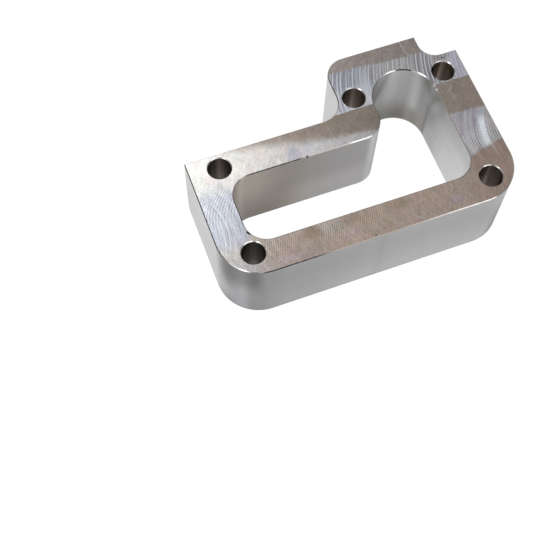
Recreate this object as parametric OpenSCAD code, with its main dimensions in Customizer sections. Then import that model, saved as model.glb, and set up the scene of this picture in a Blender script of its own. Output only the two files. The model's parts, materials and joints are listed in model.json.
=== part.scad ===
// Oil pickup spacer: one piece milled from plate, which lowers an oil pickup away from the engine.
// The screw pattern comes first, and the outline follows it at given edge distances.
// An open pocket runs along the frame and turns into the round port of the block behind it.
// Millimetres, +Z up. The origin is under the middle of the bounding box, on the lower face.

/* [Screw pattern] */
// Spacing along X of the two front frame screws
frame_pitch_x = 70; // [62:0.1:110]
// Spacing along Y of the two left frame screws
frame_pitch_y = 27.5; // [25:0.1:50]
// Spacing along X of the two flange screws, centred on the port
flange_pitch = 28; // [26.5:0.1:31]
// How far the flange screws lie behind the axis of the port
flange_offset = 4.7; // [3.5:0.1:6]
// Diameter of the clearance holes, for quarter inch screws
screw_hole_d = 6.6; // [5:0.1:7.4]

/* [Edge distances] */
// Left frame screws to the left face
left_edge = 8.8; // [8:0.1:14]
// Front frame screws to the front face
front_edge = 6.9; // [6:0.1:9]
// Right frame screw to the right face
right_edge = 8.4; // [7:0.1:12]
// Rear frame screw to the back face of the long rail
rear_edge = 4.5; // [4.2:0.1:8]
// Left flange screw to the left face of the block
block_edge = 4.6; // [4.2:0.1:10]

/* [Plate and walls] */
// Thickness of the plate
plate_t = 25.4; // [10:0.1:50]
// Wall left of, in front of and behind the opening
wall = 9.25; // [8.6:0.05:11]
// Wall right of the opening
right_wall = 11.25; // [10.5:0.05:13]

/* [Port block] */
// How far the block stands behind the long rail
block_rise = 18.5; // [16.5:0.1:30]
// Diameter of the port's round end
port_d = 18.7; // [14:0.1:19.6]
// Length along X of the notch in the block's right back corner
notch_l = 9.8; // [6:0.1:12]
// Depth along Y of that notch
notch_d = 8.2; // [6:0.1:9.5]

/* [Corners] */
// Radius of the two front corners of the frame
frame_corner_r = 12.3; // [8:0.1:15]
// Radius of the block's left back corner
block_corner_r = 6.3; // [2:0.1:7.5]
// Radius of the inside corner between the long rail and the block
root_r = 6.5; // [3:0.1:7]
// Radius of the inside corner of the notch
notch_r = 5; // [2:0.1:5.9]
// Radius of the three inside corners of the pocket
pocket_r = 6.5; // [5:0.1:8.5]
// Radius of the rounded tip at the end of the long rail's inner face
tip_r = 6.5; // [2:0.1:7]
// Width of the small bevel that breaks every edge of the two faces
edge_break = 0.25; // [0.1:0.05:0.6]

/* [Hidden] */
$fn = 96;

// Faces of the frame and the block, from the frame's left front corner
frame_l = left_edge + frame_pitch_x + right_edge;
frame_w = front_edge + frame_pitch_y + rear_edge;
overall_w = frame_w + block_rise;
notch_x = frame_l - notch_l;
notch_y = overall_w - notch_d;

// The opening: a pocket with a slot at its right end, as wide as the port that closes it
port_r = port_d / 2;
pocket_back = frame_w - wall;
pocket_right = frame_l - right_wall;
slot_left = pocket_right - port_d;
port_back = overall_w - wall;
port_x = pocket_right - port_r;
port_y = port_back - port_r;

// Centres of the five screw holes
flange_y = port_y + flange_offset;
screw_holes = [
    [left_edge, front_edge],
    [left_edge + frame_pitch_x, front_edge],
    [left_edge, front_edge + frame_pitch_y],
    [port_x - flange_pitch / 2, flange_y],
    [port_x + flange_pitch / 2, flange_y]
];
block_left = port_x - flange_pitch / 2 - block_edge;

// Each way round lists its square corners as [x, y, radius] and keeps the metal on its left
outer_way = [
    [0, 0, frame_corner_r],
    [frame_l, 0, frame_corner_r],
    [frame_l, notch_y, 0],
    [notch_x, notch_y, notch_r],
    [notch_x, overall_w, 0],
    [block_left, overall_w, block_corner_r],
    [block_left, frame_w, root_r],
    [0, frame_w, 0]
];
opening_way = [
    [wall, wall, pocket_r],
    [wall, pocket_back, pocket_r],
    [slot_left, pocket_back, tip_r],
    [slot_left, port_back, port_r],
    [pocket_right, port_back, port_r],
    [pocket_right, wall, pocket_r]
];

// How far every cutter reaches past the surface that it cuts
past = 0.3;
// A straight shorter than this, as between the port's two quarter rounds, gets no bevel of its own
shortest_straight = 0.01;

function corner(way, i) = way[(i + len(way)) % len(way)];
function point(way, i) = [corner(way, i).x, corner(way, i).y];
function radius(way, i) = corner(way, i)[2];
function side(way, i) = point(way, i + 1) - point(way, i);
function heading(way, i) = side(way, i) / norm(side(way, i));
function angle_of(v) = atan2(v.y, v.x);

// 1 where the way turns left round a corner of metal, -1 where it turns right round an inside corner
function turn(way, i) = sign(cross(heading(way, i - 1), heading(way, i)));
function arc_centre(way, i) = point(way, i) + radius(way, i) * (heading(way, i) - heading(way, i - 1));

// What a straight gives up at a corner: the radius, or a little extra length at a sharp one
function given_up(way, i) = radius(way, i) > 0 ? radius(way, i) : -past;

// Section of a bevel cutter under a face at height 0, as [distance into the metal, height]
bevel_section = [
    [edge_break + past, past],
    [-past, -edge_break - past],
    [-past, past]
];

// The patch between a square corner and its arc
module corner_patch(way, i) {
    difference() {
        translate((point(way, i) + arc_centre(way, i)) / 2)
            square(radius(way, i), center = true);
        translate(arc_centre(way, i))
            circle(radius(way, i));
    }
}

// The area inside a way round; metal is 1 where that area is metal and -1 where it is open
module rounded_area(way, metal) {
    corners = [for (i = [0 : len(way) - 1]) if (radius(way, i) > 0) i];
    difference() {
        union() {
            polygon([for (i = [0 : len(way) - 1]) point(way, i)]);
            for (i = corners)
                if (turn(way, i) != metal)
                    corner_patch(way, i);
        }
        for (i = corners)
            if (turn(way, i) == metal)
                corner_patch(way, i);
    }
}

// Bevel along the straight that follows corner i
module straight_bevel(way, i) {
    length = norm(side(way, i)) - given_up(way, i) - given_up(way, i + 1);
    if (length > shortest_straight)
        translate(point(way, i) + given_up(way, i) * heading(way, i))
            rotate(angle_of(heading(way, i)))
                rotate([90, 0, 90])
                    linear_extrude(length)
                        polygon(bevel_section);
}

// Bevel round the arc of corner i
module arc_bevel(way, i) {
    first = turn(way, i) > 0 ? -90 : 0;
    translate(arc_centre(way, i))
        rotate(angle_of(heading(way, i - 1)) + first)
            rotate_extrude(angle = 90)
                polygon([for (p = bevel_section) [radius(way, i) - turn(way, i) * p.x, p.y]]);
}

// Bevels along a whole way round, on both faces
module bevels(way) {
    for (i = [0 : len(way) - 1]) {
        for (face = [0, 1])
            translate([0, 0, face * plate_t])
                mirror([0, 0, 1 - face]) {
                    straight_bevel(way, i);
                    if (radius(way, i) > 0)
                        arc_bevel(way, i);
                }
    }
}

// A screw hole through the plate, with both mouths bevelled
module screw_hole() {
    r = screw_hole_d / 2;
    mouth_r = r + edge_break + past;
    rotate_extrude()
        polygon([
            [0, -past],
            [mouth_r, -past],
            [r, edge_break],
            [r, plate_t - edge_break],
            [mouth_r, plate_t + past],
            [0, plate_t + past]
        ]);
}

module spacer_body() {
    color([0.74, 0.74, 0.75])
        translate([-frame_l / 2, -overall_w / 2, 0])
            difference() {
                linear_extrude(plate_t)
                    rounded_area(outer_way, 1);
                translate([0, 0, -past])
                    linear_extrude(plate_t + 2 * past)
                        rounded_area(opening_way, -1);
                for (centre = screw_holes)
                    translate(centre)
                        screw_hole();
                bevels(outer_way);
                bevels(opening_way);
            }
}

spacer_body();
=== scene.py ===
"""Looks of the oil pickup spacer: milled aluminium with visible cutter passes, painted reflections, glints
and shade, on a white floor.

Places on the part are millimetres in its own frame: X from left to right, Y from front to back and Z upwards,
from the middle of the lower side of its box."""

import json
from math import degrees, hypot, radians, tau

import bpy
from mathutils import Euler, Matrix, Vector


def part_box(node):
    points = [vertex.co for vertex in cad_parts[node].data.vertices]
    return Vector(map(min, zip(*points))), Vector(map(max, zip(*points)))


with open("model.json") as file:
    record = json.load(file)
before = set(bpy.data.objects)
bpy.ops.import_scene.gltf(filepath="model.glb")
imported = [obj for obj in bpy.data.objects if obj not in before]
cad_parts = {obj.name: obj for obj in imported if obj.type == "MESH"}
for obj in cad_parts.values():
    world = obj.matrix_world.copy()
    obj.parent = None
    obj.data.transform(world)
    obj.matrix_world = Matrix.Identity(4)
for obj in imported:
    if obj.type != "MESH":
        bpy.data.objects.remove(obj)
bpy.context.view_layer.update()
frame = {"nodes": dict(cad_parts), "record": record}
scene = bpy.context.scene
scene.view_settings.view_transform = "Standard"

# The part's left, front and upper sides

MM = 0.001
low_corner, high_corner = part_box("spacer_body")
LEFT = low_corner.x / MM
FRONT = low_corner.y / MM
TOP = high_corner.z / MM

# Camera

# Its place is in metres. Its three turns are in degrees: a tilt up from straight down, a lean to one side,
# and a heading.
CAMERA_PLACE = (-0.076746, -0.136645, 0.276951)
CAMERA_TILT = 24.7068
CAMERA_LEAN = -1.1523
CAMERA_HEADING = -20.3863
PICTURE_PX = 550
FOCAL_PX = 1051.56
SENSOR_MM = 36
NEAREST_SEEN = 0.01

camera = bpy.data.objects.new("camera", bpy.data.cameras.new("camera"))
scene.collection.objects.link(camera)
camera.data.sensor_width = SENSOR_MM
camera.data.lens = FOCAL_PX / PICTURE_PX * SENSOR_MM
camera.data.clip_start = NEAREST_SEEN
camera_turn = Euler([radians(angle) for angle in (CAMERA_TILT, CAMERA_LEAN, CAMERA_HEADING)])
camera.matrix_world = Matrix.Translation(CAMERA_PLACE) @ camera_turn.to_matrix().to_4x4()
scene.camera = camera


# Shader nodes written as formulas

# They are added to tree, the node tree that each material sets before its first node.


class Field:
    """A number, colour or vector that varies over the surface: one output of a shader node."""

    def __init__(self, socket):
        self.socket = socket

    def __add__(self, other):
        return compute("ADD", self, other)

    def __radd__(self, other):
        return compute("ADD", other, self)

    def __sub__(self, other):
        return compute("SUBTRACT", self, other)

    def __rsub__(self, other):
        return compute("SUBTRACT", other, self)

    def __mul__(self, other):
        return compute("MULTIPLY", self, other)

    def __rmul__(self, other):
        return compute("MULTIPLY", other, self)

    def __truediv__(self, other):
        return compute("DIVIDE", self, other)


def feed(socket, value):
    """Links a field to a socket, or sets the socket to a plain value."""
    if isinstance(value, Field):
        socket.id_data.links.new(value.socket, socket)
    else:
        socket.default_value = value


def feed_in_order(made, *values):
    """Feeds the first sockets of a node."""
    for socket, value in zip(made.inputs, values):
        feed(socket, value)


def node(kind, out=0, settings=None, **inputs):
    """One output of a new shader node; an input named Base_Color feeds the socket "Base Color"."""
    made = tree.nodes.new("ShaderNode" + kind)
    for name, value in (settings or {}).items():
        setattr(made, name, value)
    for name, value in inputs.items():
        feed(made.inputs[name.replace("_", " ")], value)
    return Field(made.outputs[out])


def compute(operation, *values):
    """The result of a maths node."""
    made = tree.nodes.new("ShaderNodeMath")
    made.operation = operation
    feed_in_order(made, *values)
    return Field(made.outputs[0])


def root(value):
    """The square root, or 0 where the value is below 0."""
    return compute("SQRT", compute("MAXIMUM", value, 0.0))


def distance(across, along):
    return root(across * across + along * along)


def most(*values):
    """The largest of some values."""
    found = values[0]
    for value in values[1:]:
        found = compute("MAXIMUM", found, value)
    return found


def limited(value, low, high):
    return compute("MINIMUM", compute("MAXIMUM", value, low), high)


def rise(value, start, end):
    """0 at start, 1 at end, smooth between them; end may be the lower of the two."""
    made = tree.nodes.new("ShaderNodeMapRange")
    made.interpolation_type = "SMOOTHSTEP"
    feed_in_order(made, value, start, end)
    return Field(made.outputs[0])


def between(value, low, high, soft):
    """1 from low to high, falling to 0 over the width soft at each end."""
    half = soft / 2
    return rise(value, low - half, low + half) * rise(value, high + half, high - half)


def bump(value, centre, reach):
    """1 where a value is at the centre, falling to 0 at the reach on both sides."""
    return rise(compute("ABSOLUTE", value - centre), reach, 0.0)


def blend(low, high, share):
    """low where share is 0, high where it is 1."""
    return (high - low) * share + low


def parts(value):
    """The three numbers of a vector."""
    made = tree.nodes.new("ShaderNodeSeparateXYZ")
    feed_in_order(made, value)
    return [Field(socket) for socket in made.outputs]


def colour(red, green, blue):
    """A colour given as 0 to 255 in a picture, as the shader wants it."""
    def linear(level):
        share = level / 255
        return share / 12.92 if share <= 0.04045 else ((share + 0.055) / 1.055) ** 2.4
    return (linear(red), linear(green), linear(blue), 1.0)


def mixed(below, above, mask, way="MIX"):
    """One colour laid over another, as far as the mask says."""
    made = tree.nodes.new("ShaderNodeMix")
    made.data_type = "RGBA"
    made.blend_type = way
    colour_inputs = [socket for socket in made.inputs if socket.type == "RGBA"]
    feed(made.inputs["Factor"], mask)
    feed(colour_inputs[0], below)
    feed(colour_inputs[1], above)
    return Field(next(socket for socket in made.outputs if socket.type == "RGBA"))


def layered(below, *coats):
    """Coats of (colour, mask) laid over a colour, one after another."""
    for above, mask in coats:
        below = mixed(below, above, mask)
    return below


def tinted(below, tint, mask=1.0):
    """A colour multiplied by another."""
    return mixed(below, tint, mask, "MULTIPLY")


def scaled(below, red, green, blue):
    """A colour with its red, green and blue each multiplied by a number."""
    return tinted(below, node("CombineColor", Red=red, Green=green, Blue=blue))


def dimmed(below, level):
    return scaled(below, level, level, level)


def finished(shader, kind="Material"):
    """Makes the shader the surface of the material, or of the world."""
    made = tree.nodes.new("ShaderNodeOutput" + kind)
    feed(made.inputs["Surface"], shader)


def material(name):
    made = bpy.data.materials.new(name)
    made.use_nodes = True
    made.node_tree.nodes.clear()
    return made


WHITE = colour(255, 255, 255)
DARK = colour(40, 38, 36)

# Milled aluminium: where a point lies, and which kind of face it is on

metal = material("milled_aluminium_detail")
tree = metal.node_tree

place = node("VectorMath", 0, {"operation": "SCALE"}, Vector=node("TexCoord", "Object"), Scale=1 / MM)
x, y, z = parts(place)
geometry = tree.nodes.new("ShaderNodeNewGeometry")
faces_up = compute("ABSOLUTE", parts(Field(geometry.outputs["True Normal"]))[2])
is_flat = rise(faces_up, 0.9, 0.95)
is_bevel = rise(faces_up, 0.4, 0.45) * (1.0 - is_flat)
is_wall = rise(faces_up, 0.4, 0.3)


# Milled aluminium: noise, and shapes in plan

def streaks(value, pitch, length, detail=1.0, roughness=0.6):
    """Noise from about -1 to 1, a pitch apart where the value changes and a length long where it doesn't."""
    made = node(
        "TexNoise", 0, {"noise_dimensions": "4D"},
        Vector=place, W=value * (length / pitch), Scale=1.0 / length, Detail=detail, Roughness=roughness,
    )
    return (made - 0.5) * 4.0


def noise(scale, detail=2.0, roughness=0.5, variant=0.0):
    """Noise from about -1 to 1 over the whole part. Each variant is a pattern of its own."""
    return streaks(variant, 1.0, 1.0 / scale, detail, roughness)


def spot(middle_x, middle_y, half_x, half_y, soft, lean=0.0):
    """1 inside an ellipse, with an edge that fades over soft of its size each way.

    lean shifts its back end along X."""
    dx, dy = x - middle_x, y - middle_y
    across = (dx - dy * lean) / half_x
    along = dy / half_y
    return rise(distance(across, along), 1 + soft, 1 - soft)


def line(start, end, width):
    """1 along a straight line, for a scratch."""
    (start_x, start_y), (end_x, end_y) = start, end
    length = hypot(end_x - start_x, end_y - start_y)
    step_x, step_y = (end_x - start_x) / length, (end_y - start_y) / length
    dx, dy = x - start_x, y - start_y
    along = limited(dx * step_x + dy * step_y, 0.0, length)
    return rise(distance(dx - along * step_x, dy - along * step_y), width, width * 0.3)


def turn_about(axis_x, axis_y, side_x, side_y):
    """Degrees turned about an upright axis, from the side (side_x, 0) to the side (0, side_y)."""
    return compute("ARCTAN2", (y - axis_y) * side_y, (x - axis_x) * side_x) * degrees(1)


# Milled aluminium: the arcs that a face mill leaves as it moves along X

def arc(axis_y, radius, side):
    """X of the mill's centre when its rim cut this point, with its left half if side is 1, else its right."""
    dy = y - axis_y
    return x + root(radius**2 - dy * dy) * side


block_arc = arc(axis_y=10.0, radius=32.0, side=1.0)
rail_arc = arc(axis_y=-13.0, radius=32.0, side=1.0)
lead_arc = arc(axis_y=-13.0, radius=32.0, side=-1.0)
right_arc = arc(axis_y=-13.0, radius=26.0, side=1.0)
left_arc = arc(axis_y=-12.0, radius=18.5, side=-1.0)
left_cross = arc(axis_y=-15.5, radius=18.5, side=1.0)

drift = noise(0.16)
patch = noise(0.4, roughness=0.6, variant=3.0)
warmth = noise(0.3, roughness=0.6, variant=7.0)
pinkness = noise(0.34, detail=1.0, variant=11.0)
grain = noise(1.5, roughness=0.7)
grit = noise(0.9)


def even_lines(value, pitch, wander):
    """Even lines, one for each turn of the mill, that wander by a share of their pitch: from -1 to 1."""
    return compute("SINE", (value / pitch + wander) * tau)


def weave(first, first_pitch, second, second_pitch):
    """The dots where two sets of even lines cross."""
    return (even_lines(first, first_pitch, drift * 0.3) + even_lines(second, second_pitch, drift * 0.3)) * 0.5


# Milled aluminium: the passes on the upper face

# The block, with the two flange holes, lies behind the rails. It has a band of arcs and, behind that, a plain
# strip.
# The colours of the passes are partly their own tone and partly painted reflection: brownish where a pass
# reflects warm dark surroundings, light or bluish where it reflects the lamps. On the right rail one pass has
# a painted blue reflection. The left end has a light painted reflection, up to a slanting line across the
# back rail, and on the front rail only at the corner.
BLOCK_FRONT = 11.0
RIGHT_RAIL_X = 38.0
in_block = rise(y, BLOCK_FRONT - 0.1, BLOCK_FRONT + 0.1)
in_band = in_block * rise(y + x * 0.075 + drift * 0.5, 25.7, 24.7)
in_strip = in_block * (1.0 - in_band)
on_rails = 1.0 - in_block
on_right = rise(x, 27.0, 32.0) * on_rails
blue_back = y + drift * 0.5 + (x - RIGHT_RAIL_X) * 0.05
blue_front = y + drift * 0.8 - (x - RIGHT_RAIL_X) * 0.25
blue_reflecting_pass = on_right * rise(blue_front, -13.4, -11.6) * rise(blue_back, 0.6, -0.5)
right_low = on_right * rise(blue_front, -11.8, -13.2)
on_front = rise(y, -15.0, -19.0)
on_left = rise(x, -33.0, -35.0)
pale_reflection_middle = blend(18.0 - compute("MAXIMUM", y, 1.0) * 4.8, -37.0, rise(y, -8.0, -13.0))
pale_reflection = rise(x + drift * 4.0 + patch * 1.5, pale_reflection_middle + 10.0, pale_reflection_middle - 10.0) * on_rails

upper = layered(
    colour(164, 152, 143),
    (colour(185, 170, 160), on_right),
    (colour(200, 178, 166), right_low),
    (colour(213, 193, 180), on_front * rise(x, 36.0, 26.0)),
    (colour(196, 180, 170), on_front * rise(x, -9.0, -20.0)),
    (colour(221, 218, 215), pale_reflection),
    (colour(194, 199, 211), on_left * between(y, -19.0, -1.0, 8.0) * 0.9),
    (colour(204, 200, 204), on_left * rise(y, -20.5, -25.0) * 0.85),
    # The band's bluish and lighter colours are painted reflection
    (colour(166, 168, 180), in_band),
    (colour(200, 197, 197), in_band * rise(x, 12.0, 24.0)),
    (colour(206, 207, 219), in_band * rise(y, 19.5, 16.5) * rise(x, 22.0, 18.0)),
    (colour(168, 163, 169), in_band * rise(x, 28.0, 31.0) * rise(x, 36.0, 34.0)),
    (colour(220, 217, 234), in_band * rise(x, 38.5, 40.5)),
    (colour(160, 156, 160), in_band * spot(38.6, 19.5, 2.4, 1.1, 0.6) * 0.8),
    (colour(186, 178, 204), in_band * spot(4.4, 12.8, 1.2, 2.0, 0.6) * 0.6),
    (colour(246, 246, 250), in_band * spot(12.9, 12.8, 1.3, 1.8, 0.7) * 0.85),
    (colour(181, 170, 165), in_strip),
    # Painted blue reflection on the right pass: lighter towards its front, and greyer beyond one arc
    (colour(210, 206, 213), blue_reflecting_pass),
    (colour(234, 230, 236), blue_reflecting_pass * rise(y, -5.0, -9.0)),
    (colour(220, 216, 218), blue_reflecting_pass * rise(right_arc, 65.9, 66.6) * rise(y, -1.0, -5.0) * 0.7),
)

# Milled aluminium: faint tints on the rails, a painted light reflection on the back rail and a painted
# highlight on the right pass

BROWN = colour(178, 158, 138)
GREEN = colour(172, 175, 168)
PINK = colour(214, 192, 200)
GREY = colour(216, 210, 204)
upper = layered(
    upper,
    (BROWN, spot(-18.0, -21.6, 2.8, 2.0, 0.5) * 0.8),
    (GREY, spot(-13.6, -21.6, 1.9, 2.2, 0.6, lean=-0.3) * 0.5),
    (GREEN, spot(-10.2, -22.2, 2.6, 1.7, 0.5) * 0.45),
    (BROWN, spot(-6.5, -21.0, 2.4, 1.6, 0.5) * 0.55),
    (PINK, spot(-26.0, -26.6, 4.5, 0.9, 0.6) * 0.4),
    (PINK, spot(-8.5, -25.2, 3.0, 1.5, 0.6) * 0.4),
    (BROWN, spot(7.5, -21.5, 3.2, 1.6, 0.6) * 0.4),
    (PINK, spot(23.4, -25.4, 1.8, 1.4, 0.5) * 0.7),
    # Painted light reflection along the back rail
    (colour(186, 187, 200), spot(-13.6, 2.9, 2.2, 2.4, 0.7) * 0.7),
    (colour(226, 224, 228), spot(-7.0, 2.7, 5.6, 1.7, 0.7) * 0.8),
    (colour(220, 218, 222), spot(3.5, 2.0, 6.5, 1.3, 0.7) * 0.8),
    # Painted blue highlight on the fan of the right pass
    (
        colour(226, 230, 246),
        blue_reflecting_pass * rise(right_arc, 62.4, 64.6) * rise(right_arc, 66.2, 65.8) * 0.5,
    ),
)

# Milled aluminium: light and dark marks of the cutter on each pass

front_weave = weave(rail_arc, 0.66, lead_arc, 0.62) * on_front * most(
    spot(-28.0, -21.8, 6.5, 3.4, 0.5),
    spot(-13.0, -22.4, 4.2, 3.4, 0.5, lean=-0.3),
    spot(-1.5, -22.0, 4.6, 2.8, 0.6),
    spot(14.0, -21.6, 3.4, 2.2, 0.6, lean=0.4) * 0.5,
    0.3,
)
right_weave = weave(right_arc, 0.72, x * 0.6 - y * 0.8, 0.62) * blue_reflecting_pass * rise(y, -4.0, -8.0)
left_weave = weave(left_arc, 0.62, left_cross, 0.9) * on_left * between(y, -19.0, 1.5, 5.0)
left_weave = left_weave * blend(0.4, 1.0, rise(y, -12.0, -7.0) * rise(y, 2.0, -2.0)) * (1.0 + patch * 0.5)

marks = patch * 0.085 + drift * 0.03 + grain * 0.08 + grit * (0.06 + in_strip * 0.07)
marks = marks + front_weave * 0.48 + right_weave * 0.6 + left_weave * 0.42
marks = marks + on_rails * (streaks(rail_arc, 0.66, 5.0) * 0.12 + streaks(lead_arc, 0.7, 4.0) * 0.09)
marks = marks + on_left * between(y, -21.0, 1.0, 3.0) * (
    streaks(left_arc, 0.9, 22.0) * 0.17 + streaks(left_cross, 0.8, 9.0) * 0.07
)
marks = marks + blue_reflecting_pass * (streaks(right_arc, 0.8, 16.0) * 0.26 + streaks(right_arc, 2.2, 20.0) * 0.12)
marks = marks + in_strip * (streaks(block_arc, 0.8, 5.0) * 0.16 + grain * 0.02)
marks = marks + in_band * streaks(block_arc, 0.7, 14.0) * 0.22
upper = scaled(
    upper,
    1.0 + marks + warmth * 0.030 + pinkness * 0.018,
    1.0 + marks - pinkness * 0.020,
    1.0 + marks - warmth * 0.036 + pinkness * 0.012,
)

# Milled aluminium: painted glints on the block's band and the right pass, and light lines and scratches

# Painted glints along the arcs of the band on the block
band_wander = streaks(block_arc, 5.0, 300.0)
band_coarse = even_lines(block_arc, 1.24, band_wander * 0.35) * blend(0.7, 1.0, bump(x, 33.0, 6.0))
band_fine = even_lines(block_arc, 0.79, band_wander * 0.6) * 0.85
band_swell = 0.66 + 0.42 * rise(streaks(block_arc, 3.5, 60.0), -0.6, 0.7) + 0.45 * bump(x, 33.0, 4.5)
band_glints = in_band * rise(band_coarse + band_fine, -0.4, 1.5) * band_swell
band_glints = band_glints * blend(1.0, 0.8, rise(y, 22.0, 25.0))
# Painted glints on the fan of the right pass, along its tail and at the front of the block
right_glint_fan = blue_reflecting_pass * rise(right_arc, 62.9, 64.5) * rise(right_arc, 66.1, 65.5) * rise(y, -0.5, -5.0)
right_glint_tail = on_right * bump(right_arc, 65.75, 0.5) * between(y, -15.0, -9.0, 2.5)
seam_glint = in_block * between(y, BLOCK_FRONT, BLOCK_FRONT + 0.5, 0.2) * rise(streaks(x, 0.8, 3.0), -0.6, 0.5)
painted_glints = most(
    right_glint_fan * rise(streaks(right_arc, 0.9, 22.0), -2.2, -0.2),
    right_glint_tail * 0.45,
    seam_glint * 0.8,
    blue_reflecting_pass * spot(35.6, -5.2, 1.1, 6.0, 0.7, lean=0.34) * 0.35,
    in_band * spot(13.6, 17.5, 1.5, 6.0, 0.7, lean=0.25) * 0.5,
)
left_lines = on_left * between(y, -18.5, -5.0, 4.0) * most(
    bump(left_arc, -57.45, 0.24) * 0.65,
    bump(left_arc, -54.75, 0.22) * 0.4,
    bump(left_arc, -58.75, 0.22) * 0.4,
)
scratches = most(
    line((28.9, 28.2), (29.1, 25.2), 0.17) * 0.6,
    line((29.1, 25.2), (29.7, 22.6), 0.15) * 0.6,
    line((36.0, 8.4), (36.3, 4.2), 0.14) * 0.4,
    line((34.6, 7.0), (37.2, 8.7), 0.14) * 0.3,
    line((-2.0, 8.6), (-1.4, 5.0), 0.16) * 0.22,
    line((10.2, -26.0), (12.2, -27.8), 0.35) * 0.3,
    line((14.5, -20.3), (13.4, -22.9), 0.2) * 0.25,
    line((23.4, -20.6), (22.4, -23.4), 0.2) * 0.2,
)
upper = layered(
    upper,
    (colour(245, 248, 255), most(band_glints, painted_glints)),
    (WHITE, most(scratches, left_lines)),
)

# Milled aluminium: the outer walls, side milled, with painted light and shade

# The bands, streaks and grain are the side milling; the factors on the brightness of the walls are painted
# light and shade. A share says where it holds, from 0 to 1.
level_bands = streaks(z, 2.0, 50.0, detail=2.0)
fine_bands = streaks(z, 0.45, 20.0)
upright = streaks(x + y * 0.8, 2.8, 80.0, detail=2.0)
cloud = noise(0.12)

# The left front corner turns from 0 on the left face to 90 on the front face
CORNER_R = 12.3
corner_turn = turn_about(LEFT + CORNER_R, FRONT + CORNER_R, -1.0, -1.0)
corner = rise(corner_turn, -6.0, 22.0) * rise(corner_turn, 90.0, 66.0)
# Painted shade on the left front corner, deepest towards its top, with painted light late in its turn
corner_shade_depth = blend(0.31, 0.64, rise(z, 9.0, 21.0))
corner_early_shade = bump(corner_turn, 27.0, 25.0) * (
    blend(0.16, 0.50, rise(z, 7.0, 16.0)) + rise(z, 6.0, 2.0) * 0.14
)
corner_late_light = bump(corner_turn, 76.0, 13.0) * blend(0.02, 0.30, rise(z, 11.0, 19.0))
corner_light_and_shade = 1.0 - corner_early_shade + corner_late_light - bump(corner_turn, 60.0, 12.0) * 0.2
# Painted shade on the front face, darker towards the left and the top, with a faint dark witness line in its
# middle
front_share = rise(y, FRONT + 2.2, FRONT + 0.1)
front_shade_and_witness_line = 0.95 - rise(x, 12.0, -40.0) * 0.22 - bump(x, -33.0, 7.0) * 0.08 - bump(x, 0.0, 3.0) * 0.03
front_shade_and_witness_line = front_shade_and_witness_line * (1.0 - rise(z, 2.0, 19.0) * 0.20)
# Painted shade on the left face, more towards the front and at middle height
left_painted_shade = 1.0 - rise(x, LEFT + 0.6, LEFT + 0.2) * (
    0.06 + rise(y, -4.0, -16.0) * 0.05 + between(z, 5.0, 17.0, 6.0) * 0.06
)
# Painted shade on the right front corner, darker towards the bottom
right_corner_share = rise(x, 33.8, 38.0) * rise(y, -18.5, -22.0)
right_corner_painted_shade = blend(0.48, 0.90, rise(z, 8.0, 26.0))
outer_light_and_shade = left_painted_shade * (1.0 - corner * corner_shade_depth) * corner_light_and_shade
outer_light_and_shade = outer_light_and_shade * blend(1.0, front_shade_and_witness_line, front_share)
outer_light_and_shade = outer_light_and_shade * blend(1.0, right_corner_painted_shade, right_corner_share)

# Milled aluminium: inside the opening, the back of the pocket and its right side, with painted light and
# shade

# Painted light and shade on the back of the pocket: at its left lighter upwards, with a lighter stripe near
# its left corner, at its right darker upwards, and darker in its middle
back_share = between(y, -3.0, 3.0, 4.0) * between(x, -35.2, 10.0, 4.0)
back_left_light_and_shade = blend(0.70, 1.10, rise(z, 0.0, 20.0)) + bump(x, -30.4, 1.3) * 0.10
back_right_shade = blend(1.0, 0.75, rise(z, 5.0, 17.0))
back_light_and_shade = blend(back_left_light_and_shade, back_right_shade, rise(x, -27.0, -11.0)) * (1.0 - bump(x, -19.0, 10.0) * 0.13)
# Painted light and shade on the right side of the pocket: lighter towards the front, darker near the top, and
# near the port a painted shadow above a diagonal with painted light high up
right_share = rise(x, 30.0, 31.5) * rise(x, 33.2, 32.8) * between(y, -19.0, 11.0, 1.0)
port_shade = rise(z + y * 2.0, 20.0, 30.0) * rise(y, -1.0, 6.0)
right_light_and_shade = (1.0 + rise(y, 6.0, -3.0) * 0.2) * (1.0 - rise(z, 15.0, 23.0) * 0.13)
right_light_and_shade = right_light_and_shade * (1.0 - port_shade * 0.26)
right_light_and_shade = right_light_and_shade * (1.0 + rise(y, 2.0, 10.0) * rise(z, 13.0, 24.0))

# Milled aluminium: the port's round wall, with painted highlights and shade

# It turns from 0 at its right side to 90 at its back
PORT_X = 23.0
PORT_Y = 10.1
port_share = between(x, 13.3, 32.8, 0.2) * between(y, PORT_Y, 20.2, 1.0)
port_turn = turn_about(PORT_X, PORT_Y, 1.0, 1.0)
# Painted highlights near turns 40 and 90, painted light high up at the right side and towards the back, and
# painted shade low down and lower on the right side
port_light_and_shade = 0.80 + bump(port_turn, 40.0, 17.0) * 0.32 + bump(port_turn, 90.0, 24.0) * 0.13 + upright * 0.04
port_light_and_shade = port_light_and_shade - bump(port_turn, 0.0, 24.0) * rise(z, 22.0, 14.0) * 0.12
port_light_and_shade = port_light_and_shade * (1.0 + bump(port_turn, 0.0, 24.0) * rise(z, 13.0, 22.0) * 0.85)
port_light_and_shade = port_light_and_shade * (1.0 + bump(port_turn, 115.0, 45.0) * rise(z, 17.0, 24.0) * 0.32)
port_light_and_shade = port_light_and_shade * (1.0 - bump(port_turn, 38.0, 18.0) * rise(z, 10.0, 5.0) * 0.34)
port_light_and_shade = port_light_and_shade * (1.0 - rise(z, 13.0, 3.0) * between(port_turn, 50.0, 135.0, 24.0) * 0.36)

# Milled aluminium: all walls together, with a painted highlight at the inner tip

inner_light_and_shade = blend(1.0, back_light_and_shade, back_share) * blend(1.0, right_light_and_shade, right_share)
inner_light_and_shade = inner_light_and_shade * blend(1.0, port_light_and_shade, port_share)
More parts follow.
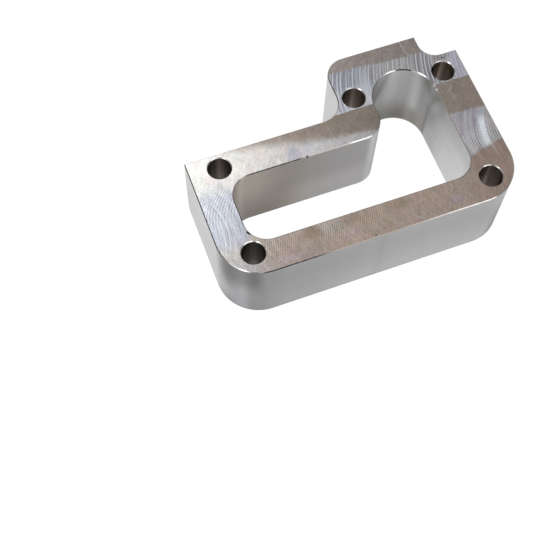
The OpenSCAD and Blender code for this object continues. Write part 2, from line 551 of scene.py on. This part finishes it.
# Painted highlight on the inner tip of the pocket
tip_light = bump(x, 9.6, 2.2) * between(y, 0.0, 3.0, 0.4) * blend(0.12, 0.34, rise(z, 9.0, 14.0))
inner_light_and_shade = inner_light_and_shade * (1.0 + tip_light)

# The wall's tone is the bands, streaks and grain of the milling, times the painted light and shade above
wall_tone_light_and_shade = 0.92 + level_bands * 0.026 + cloud * 0.02 + upright * 0.012 + grain * 0.014
wall_tone_light_and_shade = (wall_tone_light_and_shade + fine_bands * (0.012 + corner * 0.04)) * outer_light_and_shade * inner_light_and_shade
wall = dimmed(colour(236, 236, 237), wall_tone_light_and_shade)
wall = tinted(wall, colour(245, 243, 241), back_share)
wall = tinted(wall, colour(246, 238, 228), back_share * rise(x, -2.0, -20.0))
wall = tinted(wall, colour(248, 244, 236), port_share * rise(z, 12.0, 2.0))
wall = tinted(wall, colour(250, 249, 255), bump(corner_turn, 45.0, 22.0) * rise(z, 16.0, 8.0))
wall = tinted(wall, colour(250, 252, 247), front_share * bump(x, 0.5, 2.6))

# Milled aluminium: broken edges with painted highlights and dark lines, uneven along their length; the left
# # edge's dark line is a painted dark reflection, and the front bevel is painted darker as shade

# Painted highlights on the bevels where the lamps glint
edge_highlight = most(
    rise(y, FRONT + 0.8, FRONT + 0.4) * rise(x, 4.0, 30.0) * rise(x, 36.0, 33.0) * 0.6,
    rise(y, -15.0, -18.0) * between(x, -41.6, -38.2, 1.2) * 0.7,
    between(y, 0.4, 3.0, 0.4) * rise(x, 1.0, 4.0) * rise(x, 12.5, 9.5) * 0.9,
    rise(y, 12.0, 15.0)
    * most(between(x, 18.5, 24.0, 1.0), between(x, 28.4, 31.9, 0.6))
    * rise(y, 20.5, 20.0),
)
# Dark lines on the bevels; along the left edge the dark line is a painted dark reflection
edge_dark = most(
    rise(x, LEFT + 0.5, LEFT + 0.3) * between(y, -20.5, 9.6, 2.0),
    rise(y, FRONT + 0.7, FRONT + 0.3) * rise(x, -13.0, -20.0) * rise(x, -38.0, -36.5),
    between(y, 0.4, 1.6, 0.2) * between(x, -29.0, -12.0, 3.0),
    between(y, 17.0, 20.3, 0.4) * between(x, 24.1, 28.2, 0.4),
    between(x, 4.0, 4.6, 0.1) * between(y, 11.6, 23.5, 1.5) * 0.7,
)
ragged = rise(grit, -0.9, 0.4)
bevel = layered(
    colour(176, 170, 164),
    (colour(150, 140, 130), rise(y, FRONT + 0.8, FRONT + 0.4)),
    (WHITE, edge_highlight * (0.6 + 0.4 * ragged)),
    (colour(46, 43, 42), edge_dark * (0.75 + 0.25 * ragged)),
)
specks = most(
    spot(-10.6, 1.0, 0.33, 0.33, 0.4),
    spot(-34.0, -15.9, 0.45, 0.6, 0.4, lean=-0.6),
    spot(-1.9, -28.0, 0.22, 0.22, 0.5),
    spot(38.7, 19.0, 0.45, 0.3, 0.6) * 0.7,
) * rise(z, TOP - 0.8, TOP - 0.5)
chips = most(
    spot(32.6, 9.3, 0.2, 0.5, 0.5),
    spot(32.5, 10.9, 0.2, 0.3, 0.5),
) * rise(z, TOP - 0.5, TOP - 0.3)

# Milled aluminium: the five clearance holes, drilled, with painted shade inside

# Each bore has its own painted brightness, dark as painted shade, and a painted highlight streak right of its
# middle. Its rim has painted glints at the back and at the right.
HOLE_LIGHT = {
    "front_left_hole": 0.62,
    "front_right_hole": 1.18,
    "rear_left_hole": 1.06,
    "flange_left_hole": 1.36,
    "flange_right_hole": 1.42,
}
HOLE_MARGIN = 0.2
mounts = {mount["name"]: mount for mount in frame["record"]["mounts"]}
in_hole = 0.0
hole_light_and_shade = 0.0
hole_rim_glints = 0.0
for name, light in HOLE_LIGHT.items():
    hole_x, hole_y, _ = (length / MM for length in mounts[name]["pos_m"])
    reach = mounts[name]["dims"]["r_mm"] + HOLE_MARGIN
    here = spot(hole_x, hole_y, reach, reach, 0.02)
    in_hole = here + in_hole
    hole_light_and_shade = here * (0.8 + bump(x, hole_x + 1.1, 1.3) * 0.6) * light + hole_light_and_shade
    hole_rim_glints = spot(hole_x + 0.3, hole_y + 3.3, 3.0, 1.6, 0.3) + hole_rim_glints
    hole_rim_glints = spot(hole_x + 3.0, hole_y + 1.7, 1.1, 1.7, 0.3) + hole_rim_glints
hole_light_and_shade = hole_light_and_shade * (1.0 + streaks(x + y * 0.4, 0.9, 20.0, detail=2.0) * 0.35)
shaded_hole = dimmed(colour(180, 173, 167), hole_light_and_shade)
# Painted glints on the rims of the bores
bevel = mixed(bevel, WHITE, hole_rim_glints * ragged * 0.7)

# Milled aluminium: the shader

base = layered(
    wall,
    (shaded_hole, in_hole * is_wall),
    (bevel, is_bevel),
    (upper, is_flat),
    (DARK, specks),
    (WHITE, chips),
)
roughness = 0.25 + is_flat * 0.03 + grain * is_flat * 0.02 + upright * is_wall * 0.015 - is_bevel * 0.05
relief_mm = grain * 0.001 + (level_bands + upright) * is_wall * 0.002

# On the right fan the normal leans to the left, towards the lamp
FAN_LEAN = -0.125
leaning = tree.nodes.new("ShaderNodeVectorMath")
feed_in_order(
    leaning,
    node("CombineXYZ", X=right_glint_fan * is_flat * FAN_LEAN),
    Field(geometry.outputs["Normal"]),
)
bumps = node("Bump", Strength=1.0, Distance=MM, Height=relief_mm, Normal=Field(leaning.outputs[0]))
finished(node("BsdfPrincipled", Base_Color=base, Metallic=1.0, Roughness=roughness, Normal=bumps))

frame["nodes"]["spacer_body"].material_slots[0].material = metal

# White floor

FLOOR_HALF = 3.0
FLOOR_DROP = 0.0001
FLOOR_CORNERS = ((-1, -1), (1, -1), (1, 1), (-1, 1))
floor_points = [(side_x * FLOOR_HALF, side_y * FLOOR_HALF, -FLOOR_DROP) for side_x, side_y in FLOOR_CORNERS]
floor_mesh = bpy.data.meshes.new("floor")
floor_mesh.from_pydata(floor_points, [], [(0, 1, 2, 3)])
floor = bpy.data.objects.new("floor", floor_mesh)
scene.collection.objects.link(floor)

# It is a matt surface that keeps the part's shadow, mixed with a white glow: most of the glow for the camera,
# and a little for the metal's reflections
MATT_WHITE = (0.85, 0.85, 0.85, 1)
FLOOR_GLOW = 1.12
GLOW_SEEN = 0.88
GLOW_MIRRORED = 0.255
floor_material = material("floor_white")
tree = floor_material.node_tree
rays = tree.nodes.new("ShaderNodeLightPath")
seen = Field(rays.outputs["Is Camera Ray"])
mirrored = most(Field(rays.outputs["Is Glossy Ray"]), Field(rays.outputs["Is Transmission Ray"]))
glow = node("Emission", Color=WHITE, Strength=FLOOR_GLOW)
matt = node("BsdfDiffuse", Color=MATT_WHITE)
mixer = tree.nodes.new("ShaderNodeMixShader")
feed_in_order(mixer, seen * GLOW_SEEN + mirrored * GLOW_MIRRORED, matt, glow)
finished(Field(mixer.outputs[0]))
floor_mesh.materials.append(floor_material)

# White world, at full strength for the camera and at a lower one as light on the part

WORLD_LIGHT = 0.4
world = bpy.data.worlds.new("studio")
scene.world = world
world.use_nodes = True
tree = world.node_tree
tree.nodes.clear()
rays = tree.nodes.new("ShaderNodeLightPath")
seen = Field(rays.outputs["Is Camera Ray"])
finished(node("Background", Color=WHITE, Strength=WORLD_LIGHT + seen * (1 - WORLD_LIGHT)), "World")


# Lamps

def softbox(name, centre, size, watts):
    """A rectangular lamp that faces the part."""
    light = bpy.data.lights.new(name, "AREA")
    light.shape = "RECTANGLE"
    light.size, light.size_y = size
    light.energy = watts
    lamp = bpy.data.objects.new(name, light)
    lamp.location = centre
    lamp.rotation_euler = (-Vector(centre)).to_track_quat("-Z", "Y").to_euler()
    scene.collection.objects.link(lamp)


softbox("softbox_left", (-0.3235, 0.4797, 0.689), (1.0, 0.66), 3.6)
softbox("card_front", (0.18, -0.80, 0.38), (0.9, 0.28), 0.92)
softbox("card_corner", (-0.61, -0.56, 0.36), (0.3, 0.2), 0.38)
softbox("card_left", (-0.82, -0.28, 0.31), (0.35, 0.2), 0.15)
softbox("card_glint", (-0.67, -0.25, 0.52), (0.3, 0.16), 0.32)
